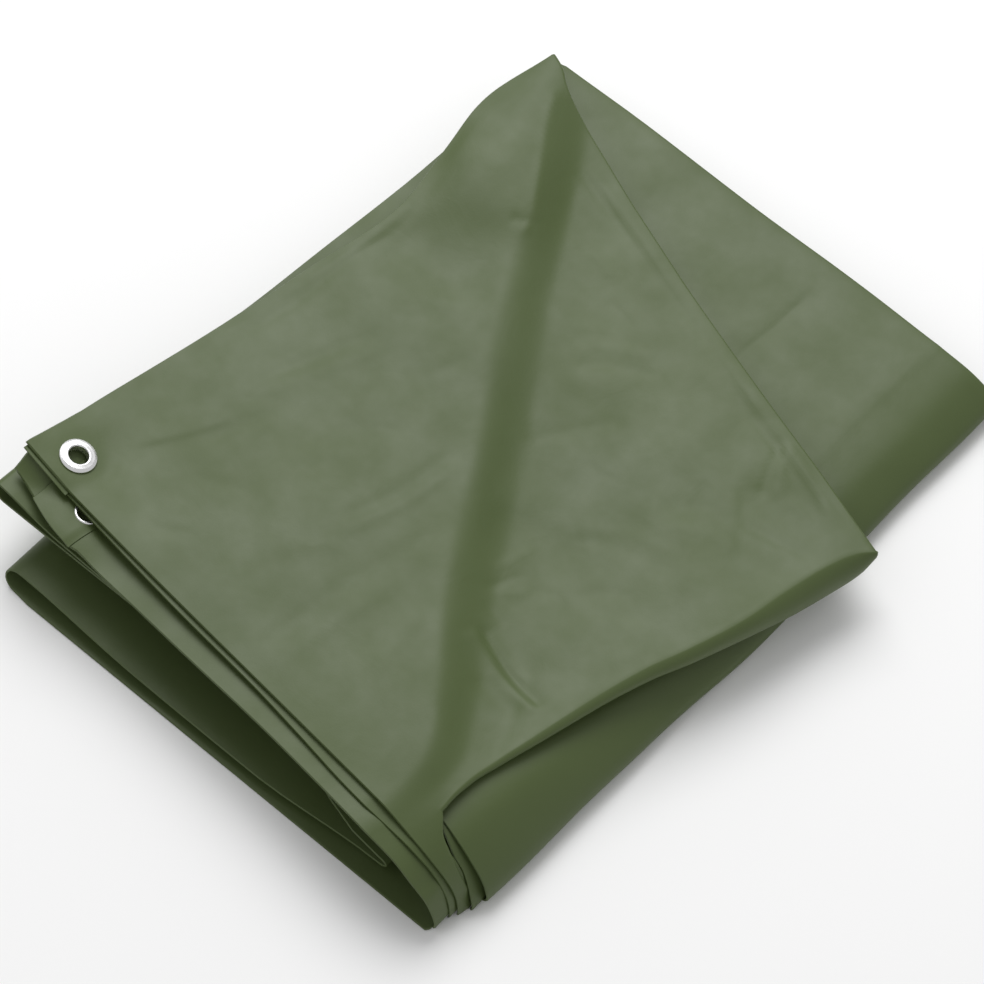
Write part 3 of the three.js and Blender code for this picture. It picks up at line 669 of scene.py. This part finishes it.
# the flap's lower sheet: all rows, the near ones under the turned-down corner
first = np.concatenate([cloth.add(np.stack([front_fold(np.full_like(ts[:JC], PI), ts[:JC])]))[0], nose_ids[-1]])
ret_fine_a = np.array([0.006, 0.014, 0.026, 0.042, 0.062])
ret_fine = cloth.add(np.stack([return_sheet(a, ts) for a in ret_fine_a]))
cloth.quads(np.concatenate([first[None], ret_fine]))
chain = []
ret_a = np.linspace(0.062, 1, 30)[1:]
chain += [return_sheet(a, half) for a in ret_a]
chain += [left_turn(np.full_like(half, p), half) for p in np.linspace(0, PI, 9)[1:]]
chain += [lower_top(a, half) for a in np.concatenate([np.linspace(0, 0.5, 10), np.linspace(0.5, 0.68, 6)[1:], np.linspace(0.68, 0.80, 22)[1:], np.linspace(0.80, 1, 10)[1:]])[1:]]
chain += list(spine_columns(24, half)[1:])
chain += [floor_sheet(np.full_like(half, a), half) for a in [0.004, 0.008, 0.012, 0.016, 0.035, 0.07, 0.15, 0.25, 0.36, 0.48, 0.6, 0.72, 0.82, 0.9, 0.94, 0.97, 1.0]]
chain += [roll_turn(p, half) for p in np.linspace(0, PI, 13)[1:]]
chain += [upper_roll(a, half) for a in np.linspace(0, 1, 17)[1:]]
chain += [inner_turn(p, half) for p in np.linspace(0, PI, 7)[1:]]
chain += [inner_end(a, half) for a in (0.12, 0.25, 0.4, 0.6, 0.8, 1.0)]
chain = np.stack(chain)
edge_down = 0.5 + 0.0 * chain[..., 0]
chain_ids = cloth.add(chain, 0.5, edge_down + 0.35 * (half[None, :] < 0.09))
cloth.halve(ret_fine[-1], chain_ids[0])
cloth.quads(chain_ids)


def far_edge(p_last, p_before, ids, radius, length, flip=1.0, rows=4):
    """turns the far ends of a run of columns under, as the doubled cloth does there"""
    ahead = p_last - p_before
    ahead /= np.linalg.norm(ahead, axis=1, keepdims=True)
    side = np.gradient(p_last, axis=0)
    n = np.cross(side, ahead)
    n /= np.maximum(np.linalg.norm(n, axis=1, keepdims=True), 1e-9)
    n *= flip
    for _ in range(3):
        n[1:-1] = (n[:-2] + 2 * n[1:-1] + n[2:]) / 4
        n /= np.maximum(np.linalg.norm(n, axis=1, keepdims=True), 1e-9)
    ahead[:, :] = ahead - n * np.sum(ahead * n, axis=1, keepdims=True)
    ahead /= np.linalg.norm(ahead, axis=1, keepdims=True)
    out = []
    for phi in np.linspace(0, PI, 6)[1:]:
        out.append(p_last + radius * math.sin(phi) * ahead - radius * (1 - math.cos(phi)) * n)
    for k in range(1, rows + 1):
        out.append(p_last - 2 * radius * n - ahead * length * k / rows)
    new = cloth.add(np.stack(out, 1))
    cloth.quads(np.concatenate([ids[:, None], new], 1))
    return new


I_END = len(ss) - 5                            # the inner sheet ends inside the loop
far_top = np.concatenate([top_ids[I_END:, -1], nose_ids[:, -1], ret_fine[:, -1]])
P_all = None

# second sheet: round the far fold and back to its own hem
far_p = top[:I_END + 1, -1]
inner_far = inner_sheet(ss[:I_END + 1], 1.0)
fold = []
for phi in np.linspace(0, PI, 9)[1:-1]:
    r = (far_p[:, 2] - inner_far[:, 2]) / 2
    fold.append(np.stack([far_p[:, 0] + 0.36 * r * math.sin(phi), far_p[:, 1] + 0.93 * r * math.sin(phi),
                          (far_p[:, 2] + inner_far[:, 2]) / 2 + r * math.cos(phi)], 1))
fold_ids = cloth.add(np.stack(fold, 1))
cloth.quads(np.concatenate([top_ids[:I_END + 1, -1:], fold_ids], 1))
inner_s = ss[:I_END + 1:2]
inner_t = np.concatenate([np.linspace(1, 0.16, 30), np.linspace(0.16, 0, 17)[1:]])
SI, TI = np.meshgrid(inner_s, inner_t, indexing="ij")
inner_p = inner_sheet(SI, TI)
inner_ids = cloth.add(inner_p, 0.5 + hem_extra(SI, TI, 0.205), 0.5)
cloth.halve_rows(fold_ids[:, -1], inner_ids[:, 0])
mid_face = (inner_p[:-1, :-1] + inner_p[1:, :-1] + inner_p[1:, 1:] + inner_p[:-1, 1:]) / 4
keep = np.linalg.norm(mid_face - np.array(EYELETS["second"][0]), axis=-1) > 8.4
cloth.quads(inner_ids, keep)
# the hem corners are one layer thicker: a strip on each holds its eyelet
c0, c1 = INNER_HEM["corner"]
SP, TP = np.meshgrid(np.linspace(c0, c1, 42), np.linspace(-0.004, 0.085, 26), indexing="ij")
strip_p = inner_sheet(SP, TP) + np.array([0.17, 0.18, 0.97]) * (0.62 + 0.63 * smooth((c1 - SP) / 0.02))[..., None]
mid_face = (strip_p[:-1, :-1] + strip_p[1:, :-1] + strip_p[1:, 1:] + strip_p[:-1, 1:]) / 4
keep = np.linalg.norm(mid_face - np.array(EYELETS["second"][0]) - np.array([0.17, 0.18, 0.97]) * 1.25, axis=-1) > 7.3
cloth.quads(cloth.add(strip_p, 0.4, 0.4), keep)
SP, TP = np.meshgrid(np.linspace(0.004, 0.112, 42), np.linspace(-0.0065, 0.05, 18), indexing="ij")
strip_p = top_sheet(SP, TP) - np.array([0.28, 0.27, 0.92]) * 1.9
mid_face = (strip_p[:-1, :-1] + strip_p[1:, :-1] + strip_p[1:, 1:] + strip_p[:-1, 1:]) / 4
keep = np.linalg.norm(mid_face - np.array(EYELETS["top"][0]) + np.array([0.28, 0.27, 0.92]) * 1.9, axis=-1) > 7.6
cloth.quads(cloth.add(strip_p, 0.4, 0.4), keep)

# its near corner turns down to the floor
rows_down = [j for j, t in enumerate(inner_t) if t < 0.085]
last_s = inner_p[-1, rows_down]
inset = 3.6
prof = [(x - inset * 0.75, z - inset * (0.85 if z > 35 else 0.3)) for x, z in WRAP]
prof[-2], prof[-1] = (159.4, 5.0), (157.2, 1.1)
drop = []
for k, p0 in enumerate(last_s):
    share = k / (len(last_s) - 1)            # 1 at the open hem
    ys = [mix(-219.0, h, share) for h in INNER_NEAR]
    pts = [p0] + [(x, y, z) for (x, z), y in zip(prof, ys) if x > p0[0] + 4]
    drop.append(along(pts, 27)[1:])
drop = np.stack(drop, 1)
drop_ids = cloth.add(drop, 0.8, 0.5)
cloth.quads(np.concatenate([inner_ids[-1:, rows_down], drop_ids]))

# the top sheet's own near corner turns down over it, and its fold goes on down that edge
last = top[-1, :JC + 1]
drop = []
for j in range(JC + 1):
    share = j / JC
    pts = [top[-3, j], last[j]] + [(x + 1.8 * share * smooth((12 - z) / 12), mix(h, g, share), z)
                                   for (x, z), h, g in zip(WRAP, WRAP_HEM, WRAP_GAP)][1:]
    line = along(pts, 400)
    start = int(np.argmin(np.linalg.norm(line - last[j], axis=1)))
    rest = line[start:]
    length = np.concatenate([[0], np.cumsum(np.linalg.norm(np.diff(rest, axis=0), axis=1))])
    want = np.linspace(0, length[-1], 41)[1:]
    drop.append(np.stack([np.interp(want, length, rest[:, c]) for c in range(3)], 1))
drop = np.stack(drop, 1)
path = np.concatenate([last[-1:], drop[:, -1]])
heading = np.gradient(path, axis=0)
heading /= np.linalg.norm(heading, axis=1, keepdims=True)
across = path - np.concatenate([last[-2:-1], drop[:, -2]])
across -= heading * np.sum(across * heading, axis=1, keepdims=True)
across /= np.linalg.norm(across, axis=1, keepdims=True)
outward = np.cross(heading, across)
lip = []
for phi in nose_phi:
    lip.append(path + 1.2 * math.sin(phi) * across - 1.2 * (1 - math.cos(phi)) * outward)
for back_off in (2.5, 5.0):
    lip.append(path - 2.4 * outward - back_off * across)
lip = np.stack(lip, 1)[1:]
n_lip = len(nose_phi)
wrap = np.concatenate([drop, lip], 1)
wrap_ids = cloth.add(wrap, 0.5, np.concatenate([np.full(drop.shape[:2], 0.7), np.full(lip.shape[:2], 0.5)], 1))
cloth.quads(np.concatenate([np.concatenate([top_ids[-1, :JC + 1], nose_ids[:, 0]])[None], wrap_ids[:, :JC + 1 + n_lip]]))
cloth.quads(wrap_ids[:, JC + n_lip:])

# a thin strip of the hem between the two
STRIP = [(-168, -197.6), (-150, -199.6), (-60, -209.8), (0, -215.6), (40, -221), (78, -226.6), (100, -229)]   # x, y of its edge
xs = np.linspace(-167, 96, 88)
ys = curve([p[0] for p in STRIP], [p[1] for p in STRIP], xs)
strip = []
for x, y in zip(xs, ys):
    yy = y + np.linspace(0, 26, 10)
    lift = 2.9 - 0.4 * np.linspace(0, 1, 10)
    strip.append(np.stack([np.full(10, x), yy, table_top(np.full(10, x), np.maximum(yy, -224)) - lift], 1))
strip = np.stack(strip)
ends = []
for j in range(10):
    k = j / 9
    pts = [strip[-2, j], strip[-1, j]] + [(x - 1.7 - 1.4 * smooth((8 - z) / 8), mix(h, h + 15, k), max(z - (1.2 if z > 20 else 0.2), 1.1)) for (x, z), h in zip(WRAP, STRIP_HEM)]
    line = along(pts, 400)
    start = int(np.argmin(np.linalg.norm(line - strip[-1, j], axis=1)))
    rest = line[start:]
    length = np.concatenate([[0], np.cumsum(np.linalg.norm(np.diff(rest, axis=0), axis=1))])
    want = np.linspace(0, length[-1], 39)[1:]
    ends.append(np.stack([np.interp(want, length, rest[:, c]) for c in range(3)], 1))
strip = np.concatenate([strip, np.stack(ends, 1)])
cloth.quads(cloth.add(strip, 0.5, 0.6))

# the spine's own second layer shows as a narrow strip by the near corner
patch = []
for k in np.linspace(0, 1, 8):
    patch.append(along([(x, y + 15 * k, z) for x, z, y in SECOND_NEAR], 40))
cloth.quads(cloth.add(np.stack(patch, 1), 0.5, 0.6))

# far ends of every other pass are turned under
p_top_far = top[I_END:, -1]
p_top_bef = top[I_END:, -2]
p_run = np.concatenate([p_top_far, nose[:, -1], np.stack([return_sheet(a, ts) for a in ret_fine_a])[:, -1]])
p_bef = np.concatenate([p_top_bef, nose[:, -2], np.stack([return_sheet(a, ts) for a in ret_fine_a])[:, -2]])
far_edge(p_run, p_bef, far_top, 1.5, 20.0)
far_edge(chain[:, -1], chain[:, -2], chain_ids[:, -1], 1.5, 20.0)

tarp = cloth.build("tarp_cloth_folded")
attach(tarp, "root")
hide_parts("tarp_cloth", "hem_corner_top", "hem_corner_second")


# ---- eyelets ------------------------------------------------------------------------
def lathe(name, profile, segments, which):
    """closed ring: profile of (radius, height) round the eyelet's own axis"""
    (cx, cy, cz), axis = EYELETS[which]
    q = Vector((0, 0, 1)).rotation_difference(Vector(axis))
    n = len(profile)
    verts, faces = [], []
    for i in range(segments):
        a = 2 * PI * i / segments
        for r, z in profile:
            v = q @ Vector((r * math.cos(a), r * math.sin(a), z)) + Vector((cx, cy, cz))
            verts.append(tuple(v * MM))
    for i in range(segments):
        for j in range(n):
            a, b = i * n + j, i * n + (j + 1) % n
            c, d = ((i + 1) % segments) * n + (j + 1) % n, ((i + 1) % segments) * n + j
            faces.append([a, b, c, d])
    mesh = bpy.data.meshes.new(name)
    mesh.from_pydata(verts, [], faces)
    mesh.validate()
    for p in mesh.polygons:
        p.use_smooth = True
    obj = bpy.data.objects.new(name, mesh)
    bpy.context.scene.collection.objects.link(obj)
    return obj


def arc(cx, cz, r, a0, a1, n):
    return [(cx + r * math.cos(a), cz + r * math.sin(a)) for a in np.linspace(math.radians(a0), math.radians(a1), n)]


# rolled lip inside, domed flange, rounded outer edge; barrel through the hem; washer below
ring = (arc(7.0, 1.9, 1.0, 180, 75, 8) + arc(9.2, 0.9, 1.75, 100, 60, 6)[1:] + arc(10.7, 1.15, 0.8, 70, -60, 8)
        + [(10.2, 0.62), (7.4, 0.62), (6.9, 0.3), (6.9, -1.1), (7.4, -1.6), (10.4, -1.6)]
        + arc(10.5, -2.0, 0.5, 60, -80, 5) + [(9.0, -2.7), (7.6, -2.75)] + arc(7.0, -2.2, 0.95, -70, -180, 6))
back_ring = (arc(7.15, 1.35, 1.0, 180, 0, 11) + [(8.15, 0.5), (6.95, 0.2), (6.95, -1.1), (7.6, -1.6), (10.7, -1.6)]
             + arc(10.9, -2.05, 0.45, 80, -80, 6) + [(9.0, -2.75)] + arc(7.1, -2.0, 0.95, -75, -180, 6))
eyes = []
for which, node, shape in (("top", "eyelet_top", ring), ("second", "eyelet_second", back_ring)):
    eye = lathe(f"ring_{which}", shape, 72, which)
    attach(eye, "root")
    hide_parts(node)
    eyes.append(eye)


# ---- materials --------------------------------------------------------------------
def shader(tree, kind, **values):
    n = tree.nodes.new(kind)
    for k, v in values.items():
        if k in n.inputs:
            n.inputs[k].default_value = v
        else:
            setattr(n, k, v)
    return n


def cloth_material():
    m = bpy.data.materials.new("coated_cloth")
    m.use_nodes = True
    t = m.node_tree
    t.nodes.clear()
    out = t.nodes.new("ShaderNodeOutputMaterial")
    bsdf = t.nodes.new("ShaderNodeBsdfPrincipled")
    t.links.new(bsdf.outputs["BSDF"], out.inputs["Surface"])
    bsdf.inputs["Roughness"].default_value = 0.55
    bsdf.inputs["IOR"].default_value = 1.46
    bsdf.inputs["Specular IOR Level"].default_value = 0.5
    place = shader(t, "ShaderNodeTexCoord")
    where = place.outputs["Object"]
    # slow uneven tone, as coated cloth has
    tone = shader(t, "ShaderNodeTexNoise", Scale=9.0, Detail=4.0, Roughness=0.55)
    t.links.new(where, tone.inputs["Vector"])
    ramp = shader(t, "ShaderNodeValToRGB")
    ramp.color_ramp.elements[0].position, ramp.color_ramp.elements[1].position = 0.3, 0.72
    ramp.color_ramp.elements[0].color = (0.059, 0.086, 0.0225, 1)
    ramp.color_ramp.elements[1].color = (0.067, 0.096, 0.0265, 1)
    t.links.new(tone.outputs["Fac"], ramp.inputs["Fac"])
    t.links.new(ramp.outputs["Color"], bsdf.inputs["Base Color"])
    rough = shader(t, "ShaderNodeTexNoise", Scale=26.0, Detail=3.0, Roughness=0.6)
    t.links.new(where, rough.inputs["Vector"])
    rr = shader(t, "ShaderNodeMapRange")
    rr.inputs["From Min"].default_value, rr.inputs["From Max"].default_value = 0.3, 0.7
    rr.inputs["To Min"].default_value, rr.inputs["To Max"].default_value = 0.46, 0.56
    t.links.new(rough.outputs["Fac"], rr.inputs["Value"])
    t.links.new(rr.outputs["Result"], bsdf.inputs["Roughness"])
    # handling marks: soft crinkles, then the coated weave's fine grain
    crinkle = shader(t, "ShaderNodeTexNoise", Scale=38.0, Detail=3.0, Roughness=0.5, Distortion=0.6)
    t.links.new(where, crinkle.inputs["Vector"])
    b1 = shader(t, "ShaderNodeBump", Strength=0.25, Distance=0.0012)
    t.links.new(crinkle.outputs["Fac"], b1.inputs["Height"])
    grain = shader(t, "ShaderNodeTexNoise", Scale=900.0, Detail=2.0, Roughness=0.6)
    t.links.new(where, grain.inputs["Vector"])
    b2 = shader(t, "ShaderNodeBump", Strength=0.12, Distance=0.0003)
    t.links.new(grain.outputs["Fac"], b2.inputs["Height"])
    t.links.new(b1.outputs["Normal"], b2.inputs["Normal"])
    t.links.new(b2.outputs["Normal"], bsdf.inputs["Normal"])
    return m


def metal_material():
    m = bpy.data.materials.new("eyelet_metal")
    m.use_nodes = True
    t = m.node_tree
    t.nodes.clear()
    out = t.nodes.new("ShaderNodeOutputMaterial")
    bsdf = t.nodes.new("ShaderNodeBsdfPrincipled")
    t.links.new(bsdf.outputs["BSDF"], out.inputs["Surface"])
    bsdf.inputs["Metallic"].default_value = 1.0
    bsdf.inputs["Base Color"].default_value = (0.9, 0.9, 0.9, 1)
    place = shader(t, "ShaderNodeTexCoord")
    wear = shader(t, "ShaderNodeTexNoise", Scale=420.0, Detail=3.0, Roughness=0.6)
    t.links.new(place.outputs["Object"], wear.inputs["Vector"])
    rr = shader(t, "ShaderNodeMapRange")
    rr.inputs["To Min"].default_value, rr.inputs["To Max"].default_value = 0.2, 0.34
    t.links.new(wear.outputs["Fac"], rr.inputs["Value"])
    t.links.new(rr.outputs["Result"], bsdf.inputs["Roughness"])
    b = shader(t, "ShaderNodeBump", Strength=0.05, Distance=0.0002)
    t.links.new(wear.outputs["Fac"], b.inputs["Height"])
    t.links.new(b.outputs["Normal"], bsdf.inputs["Normal"])
    return m


tarp.data.materials.append(cloth_material())
metal = metal_material()
for eye in eyes:
    eye.data.materials.append(metal)

# ---- floor and light ------------------------------------------------------------------
floor_mesh = bpy.data.meshes.new("floor")
floor_mesh.from_pydata([(-6, -6, 0), (6, -6, 0), (6, 6, 0), (-6, 6, 0)], [], [(0, 1, 2, 3)])
floor = bpy.data.objects.new("floor", floor_mesh)
bpy.context.scene.collection.objects.link(floor)
pale = bpy.data.materials.new("pale_floor")
pale.use_nodes = True
fb = pale.node_tree.nodes["Principled BSDF"]
fb.inputs["Base Color"].default_value = (0.9, 0.9, 0.9, 1)
fb.inputs["Roughness"].default_value = 0.9
fb.inputs["Specular IOR Level"].default_value = 0.1
floor.data.materials.append(pale)


def softbox(name, at, size, power, colour=(1, 1, 1)):
    light = bpy.data.lights.new(name, "AREA")
    light.shape = "RECTANGLE"
    light.size, light.size_y = size
    light.energy = power
    light.color = colour
    o = bpy.data.objects.new(name, light)
    bpy.context.scene.collection.objects.link(o)
    o.location = at
    o.rotation_mode = "QUATERNION"
    o.rotation_quaternion = (Vector((0, 0, 0.03)) - Vector(at)).to_track_quat("-Z", "Y")


softbox("key", (-1.25, 1.41, 2.60), (2.2, 2.2), 80)
world = bpy.data.worlds.new("studio")
bpy.context.scene.world = world
world.use_nodes = True
world.node_tree.nodes["Background"].inputs["Color"].default_value = (1, 1, 1, 1)
world.node_tree.nodes["Background"].inputs["Strength"].default_value = 0.55
bpy.context.scene.view_settings.view_transform = "Standard"

# ---- measure: count the cloth's triangles --------------------------------------------
print("TRIANGLES", sum(len(p.vertices) - 2 for p in tarp.data.polygons))
